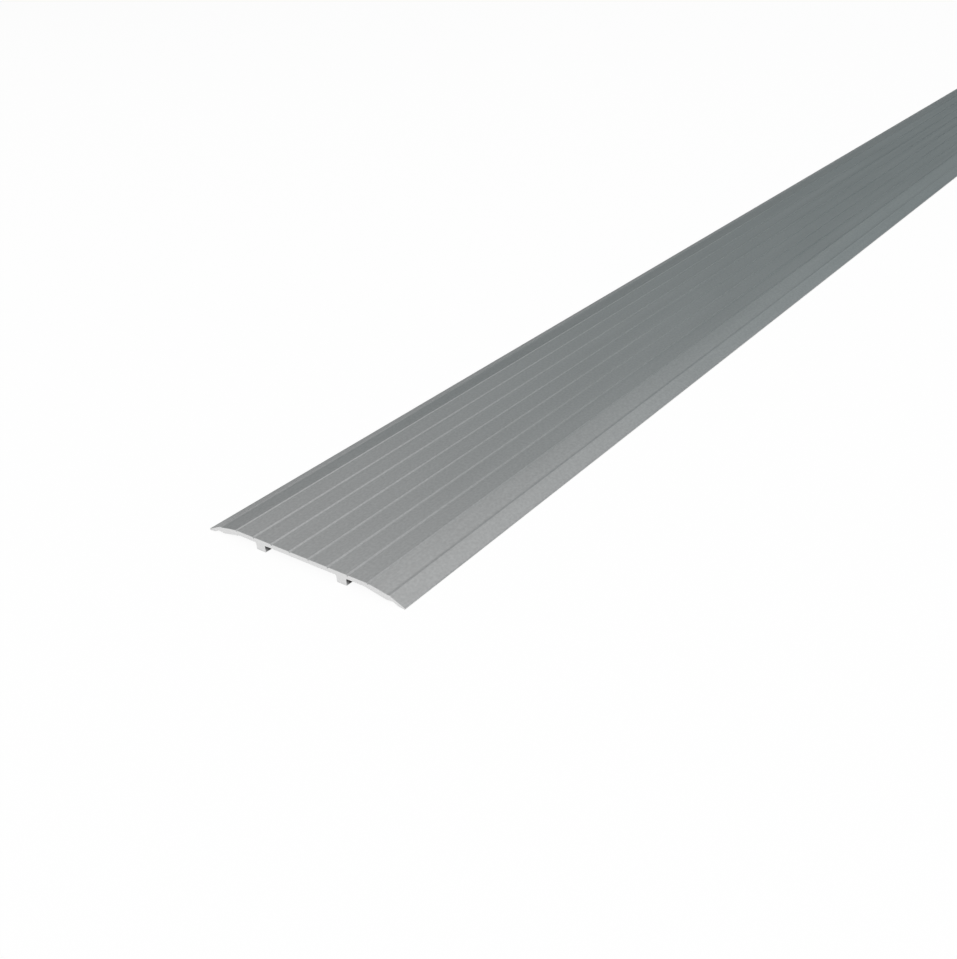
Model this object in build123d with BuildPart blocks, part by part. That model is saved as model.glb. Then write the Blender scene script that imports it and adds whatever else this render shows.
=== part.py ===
from build123d import *
import math
import os

# Threshold cover strip: one extruded aluminium profile, bedded on three foam tapes.
# X runs across the strip, Y along it and Z up. The origin lies on the floor, under
# the middle of the strip. All sizes are in millimetres.

# Cover profile, seen from its end
strip_length = 900.0
strip_width = 80.0
crown_height = 4.0  # floor to the flat crown
plate_thickness = 1.6  # wall of the crown
wing_angle = 9.7  # fall of the wings, in degrees
lip_width = 5.15  # knee to nose
knee_land = 0.9  # level step between the wing and the knee, where the lip begins
knee_radius = 0.3
nose_height = 0.55  # blunt edge that stands on the floor
nose_radius = 0.15

# V grooves along the tread, the outermost pair on the crown's edges
groove_count = 8
groove_pitch = 7.7
groove_depth = 0.45
groove_edge_radius = 0.1

# Underside: the recess for the tapes, a heel under each knee, a notch, and the toe's sole
recess_setback = 1.3  # recess stops this far inside the crown's edge
heel_setback = 1.7  # heel to knee
heel_lift = 0.9
notch_setback = 1.0  # knee to notch
notch_lift = 1.1
sole_width = 2.2  # nose to the back of the sole
sole_lift = 0.2
underside_radius = 0.8

# Feet
foot_width = 3.9
foot_root_radius = 0.3
foot_edge_radius = 0.3

# Foam tapes and their release liners
side_tape_width = 6.0
side_tape_margin = 0.55  # to the foot on one side, the end of the recess on the other
centre_tape_margin = 2.3  # to each foot
tape_end_setback = 15.0
liner_thickness = 0.12
liner_floor_gap = 0.08
liner_release_gap = 0.05
pull_tab_length = 10.0
pull_tab_radius = 2.0

# Stations across the half width, from the nose inwards
nose_x = strip_width / 2
knee_x = nose_x - lip_width
wing_end_x = knee_x - knee_land
crown_x = groove_pitch * (groove_count - 1) / 2
recess_x = crown_x - recess_setback
foot_outer_x = recess_x - side_tape_width - 2 * side_tape_margin
foot_inner_x = foot_outer_x - foot_width
recess_height = crown_height - plate_thickness


def tread_height(x):
    """Height of the straight tread over a point: the flat crown, then the falling wing."""
    beyond_crown = max(0.0, abs(x) - crown_x)
    return crown_height - beyond_crown * math.tan(math.radians(wing_angle))


knee_height = tread_height(wing_end_x)


def is_groove_shoulder(edge):
    """True for the two long edges that each groove leaves at the surface of the tread."""
    place = edge.center()
    on_tread = abs(place.X) < crown_x + 2 * groove_depth
    return on_tread and place.Z > tread_height(place.X) - groove_depth / 2


# Cover profile: half the outline is drawn on the end plane and mirrored, the grooves are cut
# into the section, and the section is extruded to length.
with BuildPart() as cover_profile:
    with BuildSketch(Plane.XZ.offset(-strip_length / 2)) as section:
        with BuildLine():
            Line((0, crown_height), (crown_x, crown_height))
            FilletPolyline(
                (crown_x, crown_height),
                (wing_end_x, knee_height),
                (knee_x, knee_height),
                (nose_x, nose_height),
                (nose_x, 0),
                (nose_x - sole_width, sole_lift),
                (knee_x + notch_setback, notch_lift),
                (knee_x - heel_setback, heel_lift),
                (recess_x, recess_height),
                (foot_outer_x, recess_height),
                (foot_outer_x, 0),
                (foot_inner_x, 0),
                (foot_inner_x, recess_height),
                (0, recess_height),
                radius=(
                    knee_radius,
                    knee_radius,
                    nose_radius,
                    nose_radius,
                    underside_radius,
                    underside_radius,
                    underside_radius,
                    underside_radius,
                    foot_root_radius,
                    foot_edge_radius,
                    foot_edge_radius,
                    foot_root_radius,
                ),
            )
            mirror(about=Plane.YZ)
        make_face()
        for groove in range(groove_count):
            groove_x = groove * groove_pitch - crown_x
            with Locations((groove_x, tread_height(groove_x))):
                RectangleRounded(
                    math.sqrt(2) * groove_depth,
                    math.sqrt(2) * groove_depth,
                    radius=groove_edge_radius,
                    rotation=45,
                    mode=Mode.SUBTRACT,
                )
    extrude(amount=strip_length)
    long_edges = cover_profile.edges().filter_by(Axis.Y)
    fillet(long_edges.filter_by(is_groove_shoulder), groove_edge_radius)

cover_profile.part.label = "cover_profile"

# The three beds under the plate: the middle of each tape and its width.
beds = {
    "left": (-(recess_x + foot_outer_x) / 2, side_tape_width),
    "centre": (0.0, 2 * (foot_inner_x - centre_tape_margin)),
    "right": ((recess_x + foot_outer_x) / 2, side_tape_width),
}
tape_length = strip_length - 2 * tape_end_setback
tape_bottom = liner_floor_gap + liner_thickness + liner_release_gap


def foam_tape(bed):
    """Double-sided foam tape, stuck to the plate and slit square at its edges."""
    tape_x, tape_width = beds[bed]
    with BuildPart() as tape:
        with BuildSketch(Plane.XY.offset(tape_bottom)):
            with Locations((tape_x, 0)):
                Rectangle(tape_width, tape_length)
        extrude(amount=recess_height - tape_bottom)
    tape.part.label = f"foam_tape_{bed}"
    return tape.part


def release_liner(bed):
    """Siliconed paper under a tape, longer than the tape by the pull tab at its far end."""
    tape_x, tape_width = beds[bed]
    with BuildPart() as liner:
        with BuildSketch(Plane.XY.offset(liner_floor_gap)):
            with Locations((tape_x, pull_tab_length / 2)):
                Rectangle(tape_width, tape_length + pull_tab_length)
        extrude(amount=liner_thickness)
        tab_corners = liner.edges().filter_by(Axis.Z).group_by(Axis.Y)[-1]
        fillet(tab_corners, min(pull_tab_radius, 0.4 * tape_width))
    liner.part.label = f"release_liner_{bed}"
    return liner.part


# Every piece in its own file
os.makedirs("parts", exist_ok=True)
pieces = [cover_profile.part]
pieces += [foam_tape(bed) for bed in beds]
pieces += [release_liner(bed) for bed in beds]
for piece in pieces:
    export_step(piece, f"parts/{piece.label}.step")
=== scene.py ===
import math

import bmesh
import bpy
import numpy as np
from mathutils import Matrix, Vector


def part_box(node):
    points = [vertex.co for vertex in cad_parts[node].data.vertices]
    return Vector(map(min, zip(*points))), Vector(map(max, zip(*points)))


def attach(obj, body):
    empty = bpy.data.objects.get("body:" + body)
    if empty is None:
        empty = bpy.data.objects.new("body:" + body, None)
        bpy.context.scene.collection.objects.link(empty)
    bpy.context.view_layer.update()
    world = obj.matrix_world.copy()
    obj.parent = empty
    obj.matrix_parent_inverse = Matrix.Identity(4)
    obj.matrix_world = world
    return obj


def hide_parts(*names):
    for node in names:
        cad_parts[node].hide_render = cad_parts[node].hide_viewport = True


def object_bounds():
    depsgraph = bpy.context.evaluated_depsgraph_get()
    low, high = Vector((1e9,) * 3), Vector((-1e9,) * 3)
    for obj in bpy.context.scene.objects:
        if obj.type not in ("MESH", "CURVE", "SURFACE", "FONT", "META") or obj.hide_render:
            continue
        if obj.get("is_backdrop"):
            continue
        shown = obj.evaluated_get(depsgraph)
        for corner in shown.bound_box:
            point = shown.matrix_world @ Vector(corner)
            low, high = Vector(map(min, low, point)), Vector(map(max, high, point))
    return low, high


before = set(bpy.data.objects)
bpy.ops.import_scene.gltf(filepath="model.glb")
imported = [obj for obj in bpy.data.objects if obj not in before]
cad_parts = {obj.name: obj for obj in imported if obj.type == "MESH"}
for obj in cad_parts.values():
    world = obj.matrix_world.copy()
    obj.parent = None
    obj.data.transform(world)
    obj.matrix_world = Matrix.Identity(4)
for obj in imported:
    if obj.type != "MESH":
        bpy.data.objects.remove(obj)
cad_low, cad_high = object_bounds()


# Cover profile. One length of aluminium pushed hot through a steel die, etched and
# anodised silver, then cut to length with a circular saw. Its end shows the section:
# a grooved flat crown, two falling wings, two rounded lips and two solid feet.
MM = 0.001
profile_low, profile_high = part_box("cover_profile")
NOSE_X = profile_high.x
CROWN_HEIGHT = profile_high.z
PLATE_THICKNESS = 1.6 * MM
WING_FALL = math.tan(math.radians(9.7))
LIP_WIDTH = 5.15 * MM
KNEE_LAND = 0.9 * MM
KNEE_RADIUS = 0.3 * MM
WING_CROWN = 0.05 * MM  # the wings are very slightly rounded across
WING_POINTS = 7
NOSE_HEIGHT = 0.55 * MM
NOSE_RADIUS = 0.15 * MM
GROOVE_COUNT = 8
GROOVE_PITCH = 7.7 * MM
GROOVE_DEPTH = 0.45 * MM
GROOVE_RADIUS = 0.1 * MM
RECESS_SETBACK = 1.3 * MM
HEEL_SETBACK, HEEL_LIFT = 1.7 * MM, 0.9 * MM
NOTCH_SETBACK, NOTCH_LIFT = 1.0 * MM, 1.1 * MM
SOLE_WIDTH, SOLE_LIFT = 2.2 * MM, 0.2 * MM
UNDERSIDE_RADIUS = 0.8 * MM
FOOT_OUTER_X, FOOT_INNER_X = 18.55 * MM, 14.65 * MM
FOOT_RADIUS = 0.3 * MM
SAWN_BURR = 0.08 * MM  # the saw's sharp edge, broken with a file
ARC_STEPS = 10
SAME_POINT = 1e-5 * MM

KNEE_X = NOSE_X - LIP_WIDTH
WING_END_X = KNEE_X - KNEE_LAND
CROWN_X = GROOVE_PITCH * (GROOVE_COUNT - 1) / 2
RECESS_HEIGHT = CROWN_HEIGHT - PLATE_THICKNESS
KNEE_HEIGHT = CROWN_HEIGHT - (WING_END_X - CROWN_X) * WING_FALL


def half_outline():
    """Corners (x, z) and their radii, from the first groove right of the middle out to the nose and
    back under the lip, the wing and the foot to the recess. The walls of a groove slope at 45
    degrees, so each meets the tread at depth / (1 + the tread's fall) from the root, and the wing
    rises over its chord by 4 x WING_CROWN x share x (1 - share)."""
    root = (np.arange(GROOVE_COUNT // 2) + 0.5) * GROOVE_PITCH
    fall = np.where(root > CROWN_X - GROOVE_DEPTH, WING_FALL, 0.0)
    reach = GROOVE_DEPTH / (1 + fall)
    level = np.full_like(root, CROWN_HEIGHT)
    inner = np.stack([root - GROOVE_DEPTH, level], 1)
    bottom = np.stack([root, level - GROOVE_DEPTH], 1)
    outer = np.stack([root + reach, level - reach * fall], 1)
    tread = np.stack([inner, bottom, outer], 1).reshape(-1, 2)
    share = np.linspace(0, 1, WING_POINTS + 2)[1:-1]
    wing = tread[-1] + share[:, None] * (np.array([WING_END_X, KNEE_HEIGHT]) - tread[-1])
    wing[:, 1] += 4 * WING_CROWN * share * (1 - share)
    around = [
        ((WING_END_X, KNEE_HEIGHT), KNEE_RADIUS),
        ((KNEE_X, KNEE_HEIGHT), KNEE_RADIUS),
        ((NOSE_X, NOSE_HEIGHT), NOSE_RADIUS),
        ((NOSE_X, 0), NOSE_RADIUS),
        ((NOSE_X - SOLE_WIDTH, SOLE_LIFT), UNDERSIDE_RADIUS),
        ((KNEE_X + NOTCH_SETBACK, NOTCH_LIFT), UNDERSIDE_RADIUS),
        ((KNEE_X - HEEL_SETBACK, HEEL_LIFT), UNDERSIDE_RADIUS),
        ((CROWN_X - RECESS_SETBACK, RECESS_HEIGHT), UNDERSIDE_RADIUS),
        ((FOOT_OUTER_X, RECESS_HEIGHT), FOOT_RADIUS),
        ((FOOT_OUTER_X, 0), FOOT_RADIUS),
        ((FOOT_INNER_X, 0), FOOT_RADIUS),
        ((FOOT_INNER_X, RECESS_HEIGHT), FOOT_RADIUS),
    ]
    corners = np.vstack([tread, wing, [place for place, _ in around]])
    radii = [GROOVE_RADIUS] * len(tread) + [0.0] * len(wing) + [radius for _, radius in around]
    return corners, np.array(radii)


def rounded(corners, radii):
    """A closed outline with each corner rounded: from the corner, the arc starts and ends
    radius x tan(turn / 2) along the two sides, and its points turn evenly about its centre. Of
    points that fall together, one is kept."""
    ahead = np.roll(corners, -1, 0) - corners
    ahead /= np.linalg.norm(ahead, axis=1, keepdims=True)
    before = np.roll(ahead, 1, 0)
    across = before[:, 0] * ahead[:, 1] - before[:, 1] * ahead[:, 0]
    turn = np.arctan2(across, (before * ahead).sum(1))
    share = np.linspace(0, 1, ARC_STEPS + 1)
    angle = np.arctan2(before[:, 1], before[:, 0])[:, None] + turn[:, None] * share
    side = np.sign(turn)
    start = corners - before * (radii * np.abs(np.tan(turn / 2)))[:, None]
    centre = start + (side * radii)[:, None] * np.stack([-before[:, 1], before[:, 0]], 1)
    spoke = np.stack([np.sin(angle), -np.cos(angle)], 2) * (side * radii)[:, None, None]
    points = (centre[:, None] + spoke).reshape(-1, 2)
    apart = np.linalg.norm(points - np.roll(points, 1, 0), axis=1)
    return points[apart > SAME_POINT]


def inset(outline, depth):
    """The outline moved inwards by depth along the mean of the normals of its two sides."""
    ahead = np.roll(outline, -1, 0) - outline
    ahead /= np.linalg.norm(ahead, axis=1, keepdims=True)
    mean = ahead + np.roll(ahead, 1, 0)
    mean /= np.linalg.norm(mean, axis=1, keepdims=True)
    return outline + depth * np.stack([mean[:, 1], -mean[:, 0]], 1)


def along_strip(name, rings, stations):
    """A solid carried along Y: rings[i] is the (x, z) outline at stations[i], the sides are quads
    between neighbouring rings, and a single face closes each end."""
    rings = np.asarray(rings)
    count, size = rings.shape[:2]
    points = np.empty((count, size, 3))
    points[:, :, [0, 2]] = rings
    points[:, :, 1] = np.asarray(stations)[:, None]
    first = np.arange(size)
    second = np.roll(first, -1)
    step = (np.arange(count - 1) * size)[:, None]
    sides = np.stack([first + step, second + step, second + step + size, first + step + size], 2)
    ends = [list(range(size))[::-1], list(range((count - 1) * size, count * size))]
    mesh = bpy.data.meshes.new(name)
    mesh.from_pydata(points.reshape(-1, 3).tolist(), [], sides.reshape(-1, 4).tolist() + ends)
    mesh.shade_smooth()
    piece = bpy.data.objects.new(name, mesh)
    bpy.context.scene.collection.objects.link(piece)
    return piece


def outward(piece):
    """Turns every face outwards, and keeps long flat faces flat beside their small radii."""
    shell = bmesh.new()
    shell.from_mesh(piece.data)
    bmesh.ops.recalc_face_normals(shell, faces=shell.faces)
    shell.to_mesh(piece.data)
    shell.free()
    weighted = piece.modifiers.new("flat faces lead", "WEIGHTED_NORMAL")
    weighted.weight = 100


def linear(code):
    """A #rrggbb sRGB colour as linear red, green, blue and alpha."""
    parts = np.array([int(code[i : i + 2], 16) for i in (1, 3, 5)]) / 255
    parts = np.where(parts <= 0.04045, parts / 12.92, ((parts + 0.055) / 1.055) ** 2.4)
    return (*parts.tolist(), 1.0)


def add_node(tree, kind, inputs=None, **settings):
    """Adds a shader node. inputs maps a socket's name or number to a value or another socket."""
    made = tree.nodes.new(kind)
    for name, value in settings.items():
        setattr(made, name, value)
    for name, source in (inputs or {}).items():
        if isinstance(source, bpy.types.NodeSocket):
            tree.links.new(source, made.inputs[name])
        else:
            made.inputs[name].default_value = source
    return made


def new_material(name):
    """An empty node material, and the Principled shader on its output."""
    material = bpy.data.materials.new(name)
    material.use_nodes = True
    tree = material.node_tree
    tree.nodes.clear()
    shader = add_node(tree, "ShaderNodeBsdfPrincipled")
    add_node(tree, "ShaderNodeOutputMaterial", {"Surface": shader.outputs["BSDF"]})
    return material, tree, shader


def mottled(tree, spacing_mm, detail=2.0, roughness=0.5):
    """Noise on Object coordinates whose cells are spacing_mm across, along and up."""
    place = add_node(tree, "ShaderNodeTexCoord").outputs["Object"]
    scale = [1 / (each * MM) for each in spacing_mm]
    stretched = add_node(
        tree,
        "ShaderNodeMapping",
        {"Vector": place, "Scale": scale},
        vector_type="POINT",
    ).outputs["Vector"]
    return add_node(
        tree,
        "ShaderNodeTexNoise",
        {"Vector": stretched, "Scale": 1.0, "Detail": detail, "Roughness": roughness},
    ).outputs["Fac"]


DIE_LINE_MM = (0.35, 160.0, 0.35)
ETCH_GRAIN_MM = (0.8, 1.1, 0.8)
CLOUD_MM = (18.0, 60.0, 18.0)
NOISE_SPAN = {"From Min": 0.3, "From Max": 0.7}  # nearly all of the noise lies in it


def silver_anodised():
    """Satin silver anodising: the etch leaves an even grain, drawn here at 0.8 mm, several times
    too coarse, so that it shows. Under it the die has drawn lines along the bar. The sheen is soft
    and wide, and a little broader on some lines than on others. The tone is the sum of the three
    patterns, each with its share."""
    material, tree, shader = new_material("silver_anodised_aluminium")
    die_lines = mottled(tree, DIE_LINE_MM, detail=3.0)
    etch_grain = mottled(tree, ETCH_GRAIN_MM, detail=1.0)
    clouds = mottled(tree, CLOUD_MM)
    tone = 0.0
    for pattern, most in ((die_lines, 0.25), (clouds, 0.2), (etch_grain, 0.55)):
        share = add_node(
            tree,
            "ShaderNodeMapRange",
            {"Value": pattern, **NOISE_SPAN, "To Max": most},
        ).outputs["Result"]
        tone = add_node(tree, "ShaderNodeMath", {0: tone, 1: share}, operation="ADD").outputs[0]
    silver = add_node(
        tree,
        "ShaderNodeMix",
        {0: tone, 6: linear("#BEBFBF"), 7: linear("#D2D3D3")},
        data_type="RGBA",
    )
    tree.links.new(silver.outputs[2], shader.inputs["Base Color"])
    sheen = add_node(
        tree,
        "ShaderNodeMapRange",
        {"Value": die_lines, **NOISE_SPAN, "To Min": 0.36, "To Max": 0.42},
    )
    tree.links.new(sheen.outputs["Result"], shader.inputs["Roughness"])
    shader.inputs["Metallic"].default_value = 1.0
    lines_bump = add_node(
        tree,
        "ShaderNodeBump",
        {"Height": die_lines, "Strength": 0.25, "Distance": 0.004 * MM},
    )
    grain_bump = add_node(
        tree,
        "ShaderNodeBump",
        {
            "Height": etch_grain,
            "Strength": 0.35,
            "Distance": 0.02 * MM,
            "Normal": lines_bump.outputs["Normal"],
        },
    )
    tree.links.new(grain_bump.outputs["Normal"], shader.inputs["Normal"])
    return material


BLADE_CENTRE = (60 * MM, 0.0, 140 * MM)
SAW_MARK_SPACING = 0.3 * MM


def sawn_aluminium():
    """The raw cut: bright bare metal, scored by the teeth of a 300 mm saw blade whose centre passed
    above the bar. So the marks are noise over the distance from that centre in the plane of the
    cut, drawn further apart than the teeth leave them so that they show."""
    material, tree, shader = new_material("sawn_aluminium")
    place = add_node(tree, "ShaderNodeTexCoord").outputs["Object"]
    from_blade = add_node(
        tree,
        "ShaderNodeVectorMath",
        {0: place, 1: BLADE_CENTRE},
        operation="SUBTRACT",
    )
    flat = add_node(
        tree,
        "ShaderNodeVectorMath",
        {0: from_blade.outputs[0], 1: (1.0, 0.0, 1.0)},
        operation="MULTIPLY",
    )
    radius = add_node(tree, "ShaderNodeVectorMath", {0: flat.outputs[0]}, operation="LENGTH")
    turned = add_node(
        tree,
        "ShaderNodeMath",
        {0: radius.outputs["Value"], 1: 1 / SAW_MARK_SPACING},
        operation="MULTIPLY",
    )
    marks = add_node(
        tree,
        "ShaderNodeTexNoise",
        {"W": turned.outputs[0], "Scale": 1.0, "Detail": 2.0},
        noise_dimensions="1D",
    ).outputs["Fac"]
    share = add_node(tree, "ShaderNodeMapRange", {"Value": marks, **NOISE_SPAN})
    bare = add_node(
        tree,
        "ShaderNodeMix",
        {0: share.outputs["Result"], 6: linear("#DADADA"), 7: linear("#E3E3E3")},
        data_type="RGBA",
    )
    tree.links.new(bare.outputs[2], shader.inputs["Base Color"])
    sheen = add_node(
        tree,
        "ShaderNodeMapRange",
        {"Value": marks, **NOISE_SPAN, "To Min": 0.42, "To Max": 0.55},
    )
    tree.links.new(sheen.outputs["Result"], shader.inputs["Roughness"])
    shader.inputs["Metallic"].default_value = 1.0
    scored = add_node(
        tree,
        "ShaderNodeBump",
        {"Height": marks, "Strength": 0.12, "Distance": 0.01 * MM},
    )
    tree.links.new(scored.outputs["Normal"], shader.inputs["Normal"])
    return material


corners, radii = half_outline()
mirrored = corners[::-1] * [-1, 1]
outline = rounded(np.vstack([corners, mirrored]), np.concatenate([radii, radii[::-1]]))
filed = inset(outline, SAWN_BURR)
profile = along_strip(
    "cover_extrusion",
    [filed, outline, outline, filed],
    [profile_low.y, profile_low.y + SAWN_BURR, profile_high.y - SAWN_BURR, profile_high.y],
)
outward(profile)
profile.data.materials.append(silver_anodised())
profile.data.materials.append(sawn_aluminium())
finishes = np.zeros(len(profile.data.polygons), dtype=np.int32)
finishes[-2:] = 1  # the last two faces are the sawn ends
profile.data.polygons.foreach_set("material_index", finishes)
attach(profile, "strip")
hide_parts("cover_profile")


# Foam tapes. Closed-cell polyethylene foam, black, coated with acrylic adhesive on both
# faces and slit from a wide roll, so the edges are cut straight through the cells. They
# are pressed onto the bare recess and swell a little less at the glued faces.
BEDS = ("left", "centre", "right")
FOAM_WAIST = 0.12 * MM
FOAM_WANDER, FOAM_WANDER_LENGTH = 0.04 * MM, 83 * MM
FOAM_SIDE_POINTS = 9
FOAM_STATIONS = 220
FOAM_CELL = 0.3 * MM


def foam_section(low, high):
    """The tape's outline: a rectangle whose two slit sides are drawn in by FOAM_WAIST at the glued
    faces and stand out at mid height, as a sine of the height."""
    rise = np.linspace(0, 1, FOAM_SIDE_POINTS)
    sag = FOAM_WAIST * (1 - np.sin(math.pi * rise))
    z = low.z + (high.z - low.z) * rise
    right = np.stack([high.x - sag, z], 1)
    left = np.stack([low.x + sag, z], 1)[::-1]
    return np.vstack([right, left])


def black_foam():
    """Black polyethylene foam: matt, with fine closed cells that the knife has opened. Tone and
    height follow the distance from each cell's middle, which is deep; its darker tone there is
    painted shade in the opened cell."""
    material, tree, shader = new_material("black_polyethylene_foam")
    place = add_node(tree, "ShaderNodeTexCoord").outputs["Object"]
    cells = add_node(tree, "ShaderNodeTexVoronoi", {"Vector": place, "Scale": 1 / FOAM_CELL})
    depth = cells.outputs["Distance"]
    # painted shade: the colour darkens towards each deep cell's middle
    share = add_node(tree, "ShaderNodeMapRange", {"Value": depth, "From Max": 0.6})
    black = add_node(
        tree,
        "ShaderNodeMix",
        {0: share.outputs["Result"], 6: linear("#1D1D1F"), 7: linear("#38383B")},
        data_type="RGBA",
    )
    tree.links.new(black.outputs[2], shader.inputs["Base Color"])
    shader.inputs["Roughness"].default_value = 0.85
    pitted = add_node(
        tree,
        "ShaderNodeBump",
        {"Height": depth, "Strength": 0.8, "Distance": 0.08 * MM},
    )
    tree.links.new(pitted.outputs["Normal"], shader.inputs["Normal"])
    return material


foam = black_foam()
for bed in BEDS:
    low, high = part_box(f"foam_tape_{bed}")
    section = foam_section(low, high)
    stations = np.linspace(low.y, high.y, FOAM_STATIONS)
    # The slit edges wander inwards, as a sine along the tape, by up to twice FOAM_WANDER.
    wander = FOAM_WANDER * (1 + np.sin(stations * 2 * math.pi / FOAM_WANDER_LENGTH))[:, None]
    side = np.sign(section[:, 0] - (low.x + high.x) / 2)
    rings = np.repeat(section[None], FOAM_STATIONS, 0)
    rings[:, :, 0] -= side * wander
    tape = along_strip(f"foam_strip_{bed}", rings, stations)
    outward(tape)
    tape.data.materials.append(foam)
    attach(tape, "strip")
    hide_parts(f"foam_tape_{bed}")


# Release liners. Glassine: paper calendered until it shines, siliconed on the side that
# faces the glue and left bare below. Each is slit with its tape and runs on past it at the
# far end as a rounded tab, which the fitter pulls. They keep their solids' own shape.
FIBRE_MM = (0.25, 2.5, 0.25)
PULP_MM = (3.0, 5.0, 3.0)


def glassine():
    """Cream glassine: short fibres lie along the web, drawn several times too wide so that they
    show, in a cloudy pulp. The calender leaves a low sheen, a little uneven over the fibres. The
    tone is half the fibres and half the pulp."""
    material, tree, shader = new_material("siliconed_glassine_paper")
    fibres = mottled(tree, FIBRE_MM, detail=4.0, roughness=0.6)
    pulp = mottled(tree, PULP_MM, detail=3.0)
    tone = 0.0
    for pattern in (fibres, pulp):
        share = add_node(
            tree,
            "ShaderNodeMapRange",
            {"Value": pattern, **NOISE_SPAN, "To Max": 0.5},
        ).outputs["Result"]
        tone = add_node(tree, "ShaderNodeMath", {0: tone, 1: share}, operation="ADD").outputs[0]
    cream = add_node(
        tree,
        "ShaderNodeMix",
        {0: tone, 6: linear("#E3DBC4"), 7: linear("#F2ECDA")},
        data_type="RGBA",
    )
    tree.links.new(cream.outputs[2], shader.inputs["Base Color"])
    sheen = add_node(
        tree,
        "ShaderNodeMapRange",
        {"Value": fibres, **NOISE_SPAN, "To Min": 0.32, "To Max": 0.46},
    )
    tree.links.new(sheen.outputs["Result"], shader.inputs["Roughness"])
    shader.inputs["IOR"].default_value = 1.47
    laid = add_node(
        tree,
        "ShaderNodeBump",
        {"Height": fibres, "Strength": 0.25, "Distance": 0.01 * MM},
    )
    tree.links.new(laid.outputs["Normal"], shader.inputs["Normal"])
    return material


liner_paper = glassine()
for bed in BEDS:
    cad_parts[f"release_liner_{bed}"].material_slots[0].material = liner_paper


# Studio. A white floor, whose glow as the metal mirrors it carries painted shade under and beside
# the strip, a round pale tent that is brightest above and behind the camera and dark low down on
# the far left, one large soft lamp beside the camera, and a close view of the sawn end from above
# the right edge.
def stage_material(name, build):
    """A material for the studio: build gets its tree and returns the shader's socket."""
    material = bpy.data.materials.new(name)
    material.use_nodes = True
    tree = material.node_tree
    tree.nodes.clear()
    add_node(tree, "ShaderNodeOutputMaterial", {"Surface": build(tree)})
    return material


FLOOR_RADIUS = 12.0
FLOOR_WHITE_SHARE = 0.94
# Painted shade in the floor's glow as the metal mirrors it: black under the strip, grey beside it,
# darker on the left.
PAINTED_SHADOW_UNDER, MIRRORED_BEYOND = 0.0, 1.0
PAINTED_SHADE_LEFT = {"To Min": 0.30, "To Max": 0.56}
PAINTED_SHADE_RIGHT = {"To Min": 0.60, "To Max": 0.75}
BESIDE_SPAN = {"From Min": cad_high.x, "From Max": cad_high.x + 22 * MM}
MIDDLE_STEP = {"From Min": -1 * MM, "From Max": 1 * MM}
UNDER_STEP = {"From Min": cad_high.y - 2 * MM, "From Max": cad_high.y + 0.5 * MM}
BESIDE_STEP = {"From Min": cad_high.y - 15 * MM, "From Max": cad_high.y + 10 * MM}


def white_floor(tree):
    """Matt white. To the camera it is nearly all plain white, so that only a trace of shadow shows.
    Mirrored in the metal its glow is painted light and shade: white off the strip's two ends, grey
    along its sides and paler away from it as painted shade, darker on the left as a painted shadow
    away from the lamp, and black under it as a painted shadow. Each change is a straight ramp over
    its step or span."""
    rays = add_node(tree, "ShaderNodeLightPath").outputs
    place = add_node(tree, "ShaderNodeTexCoord").outputs["Object"]
    rightwards = add_node(tree, "ShaderNodeSeparateXYZ", {0: place}).outputs["X"]
    off_middle = add_node(tree, "ShaderNodeVectorMath", {0: place}, operation="ABSOLUTE")
    out = add_node(tree, "ShaderNodeSeparateXYZ", {0: off_middle.outputs[0]}).outputs
    # painted shadow: the mirrored glow falls to black under the strip
    under = add_node(
        tree,
        "ShaderNodeMapRange",
        {"Value": out["Y"], **UNDER_STEP, "To Min": PAINTED_SHADOW_UNDER, "To Max": MIRRORED_BEYOND},
    ).outputs["Result"]
    # painted shade: the mirrored glow is grey beside the strip, paler away from it, and darker on
    # the left away from the lamp
    left, right = (
        add_node(
            tree,
            "ShaderNodeMapRange",
            {"Value": out["X"], **BESIDE_SPAN, **mirrored_side},
        ).outputs["Result"]
        for mirrored_side in (PAINTED_SHADE_LEFT, PAINTED_SHADE_RIGHT)
    )
    sides = add_node(
        tree,
        "ShaderNodeMapRange",
        {"Value": rightwards, **MIDDLE_STEP, "To Min": left, "To Max": right},
    ).outputs["Result"]
    beside = add_node(
        tree,
        "ShaderNodeMapRange",
        {"Value": out["Y"], **BESIDE_STEP, "To Min": sides, "To Max": MIRRORED_BEYOND},
    ).outputs["Result"]
    outside = add_node(
        tree,
        "ShaderNodeMath",
        {0: out["X"], 1: cad_high.x},
        operation="GREATER_THAN",
    ).outputs[0]
    tone = add_node(tree, "ShaderNodeMix", {"Factor": outside, "A": under, "B": beside})
    mirrored = add_node(
        tree,
        "ShaderNodeMath",
        {0: rays["Is Glossy Ray"], 1: rays["Is Transmission Ray"]},
        operation="ADD",
    ).outputs[0]
    brightness = add_node(
        tree,
        "ShaderNodeMath",
        {0: mirrored, 1: tone.outputs["Result"], 2: rays["Is Camera Ray"]},
        operation="MULTIPLY_ADD",
    ).outputs[0]
    seen = add_node(
        tree,
        "ShaderNodeMath",
        {0: mirrored, 1: rays["Is Camera Ray"]},
        operation="ADD",
    )
    share = add_node(
        tree,
        "ShaderNodeMath",
        {0: seen.outputs[0], 1: FLOOR_WHITE_SHARE},
        operation="MULTIPLY",
    ).outputs[0]
    paint = add_node(tree, "ShaderNodeBsdfDiffuse", {"Color": linear("#F4F4F4")})
    glow = add_node(
        tree,
        "ShaderNodeEmission",
        {"Color": linear("#FFFFFF"), "Strength": brightness},
    )
    return add_node(
        tree,
        "ShaderNodeMixShader",
        {0: share, 1: paint.outputs[0], 2: glow.outputs[0]},
    ).outputs[0]


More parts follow.
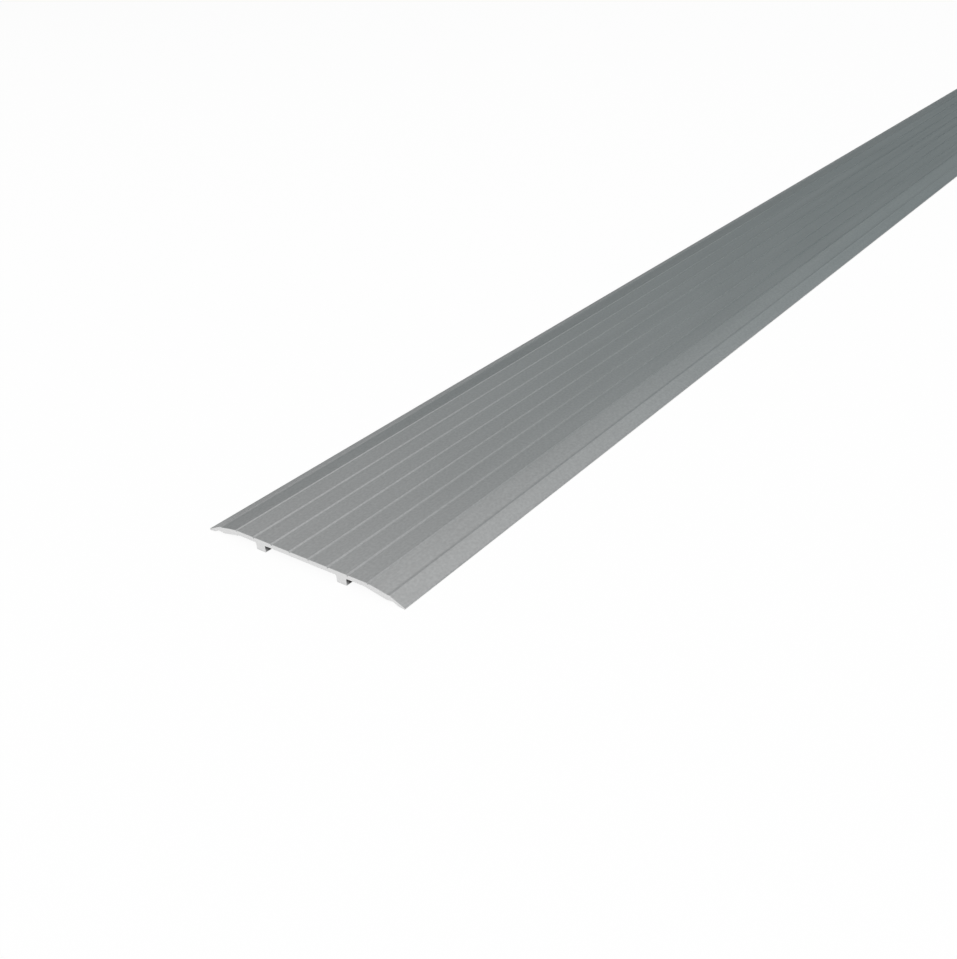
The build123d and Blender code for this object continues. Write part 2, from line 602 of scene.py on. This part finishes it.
TENT_RADIUS = 4.0
TENT_CENTRE = (0, cad_low.y + 0.12, 0)
TENT_BRIGHT_SIDE = (0.301, -0.753, 0.585)
TENT_GLOW = [  # (share of the way from the dark side to the bright side, glow)
    (0.0, 0.02),
    (0.155, 0.12),
    (0.245, 0.275),
    (0.335, 0.412),
    (0.515, 0.755),
    (0.7, 0.785),
    (1.0, 1.0),
]
TENT_FAR_SIDE = (0.0, 1.0, -0.8)
TENT_FAR_TINT = (0.78, 1.0, 1.03, 1.0)
TENT_FAR_SPAN = {"From Min": 0.2 * TENT_RADIUS, "From Max": 0.6 * TENT_RADIUS}
TENT_RIGHT_SPAN = {"From Min": 0.05 * TENT_RADIUS, "From Max": 0.45 * TENT_RADIUS}
TENT_RIGHT_GLOW = {"To Min": 1.0, "To Max": 1.1}
TENT_CORNER = (0.5, 0.82, 0.28)
TENT_CORNER_SPAN = {"From Min": 0.86 * TENT_RADIUS, "From Max": 1.0 * TENT_RADIUS}
TENT_CORNER_SHADE = {"To Min": 1.0, "To Max": 0.64}


def pale_tent(tree):
    """The tent's cloth glows by the cosine of the angle from its bright side, through the steps of
    TENT_GLOW. Right of the strip it counts as on the middle plane for that, but glows up to a tenth
    more. Low towards the far end the cloth is a little blue, and its far right corner is shaded by
    up to about a third."""
    place = add_node(tree, "ShaderNodeTexCoord").outputs["Object"]
    no_right = (0.0, TENT_RADIUS, TENT_RADIUS)
    leftwards = add_node(tree, "ShaderNodeVectorMath", {0: place, 1: no_right}, operation="MINIMUM")
    side = add_node(
        tree,
        "ShaderNodeVectorMath",
        {0: leftwards.outputs[0], 1: TENT_BRIGHT_SIDE},
        operation="DOT_PRODUCT",
    )
    share = add_node(
        tree,
        "ShaderNodeMath",
        {0: side.outputs["Value"], 1: 0.5 / TENT_RADIUS, 2: 0.5},
        operation="MULTIPLY_ADD",
    )
    ramp = add_node(tree, "ShaderNodeValToRGB", {"Fac": share.outputs[0]})
    points = ramp.color_ramp.elements
    for point, (position, grey) in zip(points[:], (TENT_GLOW[0], TENT_GLOW[-1])):
        point.position = position
        point.color = (grey, grey, grey, 1)
    for position, grey in TENT_GLOW[1:-1]:
        points.new(position).color = (grey, grey, grey, 1)
    away = add_node(
        tree,
        "ShaderNodeVectorMath",
        {0: place, 1: TENT_FAR_SIDE},
        operation="DOT_PRODUCT",
    )
    far = add_node(tree, "ShaderNodeMapRange", {"Value": away.outputs["Value"], **TENT_FAR_SPAN})
    cloth = add_node(
        tree,
        "ShaderNodeMix",
        {0: far.outputs["Result"], 6: ramp.outputs["Color"], 7: TENT_FAR_TINT},
        data_type="RGBA",
        blend_type="MULTIPLY",
    )
    corner = add_node(
        tree,
        "ShaderNodeVectorMath",
        {0: place, 1: TENT_CORNER},
        operation="DOT_PRODUCT",
    )
    shaded = add_node(
        tree,
        "ShaderNodeMapRange",
        {"Value": corner.outputs["Value"], **TENT_CORNER_SPAN, **TENT_CORNER_SHADE},
    )
    rightwards = add_node(tree, "ShaderNodeSeparateXYZ", {0: place}).outputs["X"]
    lifted = add_node(
        tree,
        "ShaderNodeMapRange",
        {"Value": rightwards, **TENT_RIGHT_SPAN, **TENT_RIGHT_GLOW},
    )
    strength = add_node(
        tree,
        "ShaderNodeMath",
        {0: shaded.outputs["Result"], 1: lifted.outputs["Result"]},
        operation="MULTIPLY",
    )
    return add_node(
        tree,
        "ShaderNodeEmission",
        {"Color": cloth.outputs[2], "Strength": strength.outputs[0]},
    ).outputs[0]


bpy.ops.mesh.primitive_circle_add(radius=FLOOR_RADIUS, vertices=64, fill_type="NGON")
floor = bpy.context.object
floor.name = "studio_floor"
floor.data.materials.append(stage_material("studio_white", white_floor))
floor.data.materials[0].cycles.emission_sampling = "NONE"  # its glow is seen, and lights nothing
floor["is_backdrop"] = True

bpy.ops.mesh.primitive_uv_sphere_add(
    radius=TENT_RADIUS,
    segments=64,
    ring_count=32,
    location=TENT_CENTRE,
)
tent = bpy.context.object
tent.name = "studio_tent"
tent.data.materials.append(stage_material("studio_tent_cloth", pale_tent))
tent.visible_camera = False
tent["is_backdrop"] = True


def soft_lamp(name, direction, distance, size, power):
    """A round lamp at a distance from the strip's near end, turned to face it. The metal doesn't
    mirror it, because the lamp stands for light that the tent's cloth has spread."""
    lamp_data = bpy.data.lights.new(name, "AREA")
    lamp_data.shape = "DISK"
    lamp_data.size = size
    lamp_data.energy = power
    lamp = bpy.data.objects.new(name, lamp_data)
    towards = Vector(direction).normalized()
    lamp.location = Vector((0, cad_low.y, 0)) + distance * towards
    lamp.rotation_euler = towards.to_track_quat("Z", "Y").to_euler()
    lamp.visible_glossy = False
    bpy.context.scene.collection.objects.link(lamp)


soft_lamp("key_lamp", direction=(0.9, -1.05, 1.6), distance=2.3, size=1.2, power=16.0)

world = bpy.data.worlds.new("studio_room")
bpy.context.scene.world = world
world.use_nodes = True
room = world.node_tree
room.nodes.clear()
backdrop = add_node(room, "ShaderNodeBackground", {"Color": linear("#FFFFFF"), "Strength": 1.0})
add_node(room, "ShaderNodeOutputWorld", {"Surface": backdrop.outputs[0]})

# The camera stands 0.17 m above the floor, off the near right corner, and looks along the
# strip and down on it, with its horizon a few degrees off level.
TURN, DIP, ROLL = np.radians([39.016, 28.938, -4.395])
SENSOR = 36.0
LONG_SIDE, FOCAL = 959, 1052.24
CAMERA_PLACE = (0.20396, cad_low.y - 0.16656, 0.16706)
camera_data = bpy.data.cameras.new("camera")
camera_data.sensor_width = SENSOR
camera_data.lens = SENSOR * FOCAL / LONG_SIDE
camera_data.clip_start = 10 * MM
camera = bpy.data.objects.new("camera", camera_data)
camera.location = CAMERA_PLACE
camera.rotation_mode = "XYZ"
ahead = np.array([-math.sin(TURN), math.cos(TURN), 0.0])
forward = math.cos(DIP) * ahead - math.sin(DIP) * np.array([0.0, 0.0, 1.0])
level = np.array([math.cos(TURN), math.sin(TURN), 0.0])
upright = np.cross(level, forward)
right = math.cos(ROLL) * level + math.sin(ROLL) * upright
above = math.cos(ROLL) * upright - math.sin(ROLL) * level
camera.rotation_euler = Matrix(np.stack([right, above, -forward], 1).tolist()).to_euler()
bpy.context.scene.collection.objects.link(camera)
bpy.context.scene.camera = camera
bpy.context.scene.view_settings.view_transform = "Standard"

low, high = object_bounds()
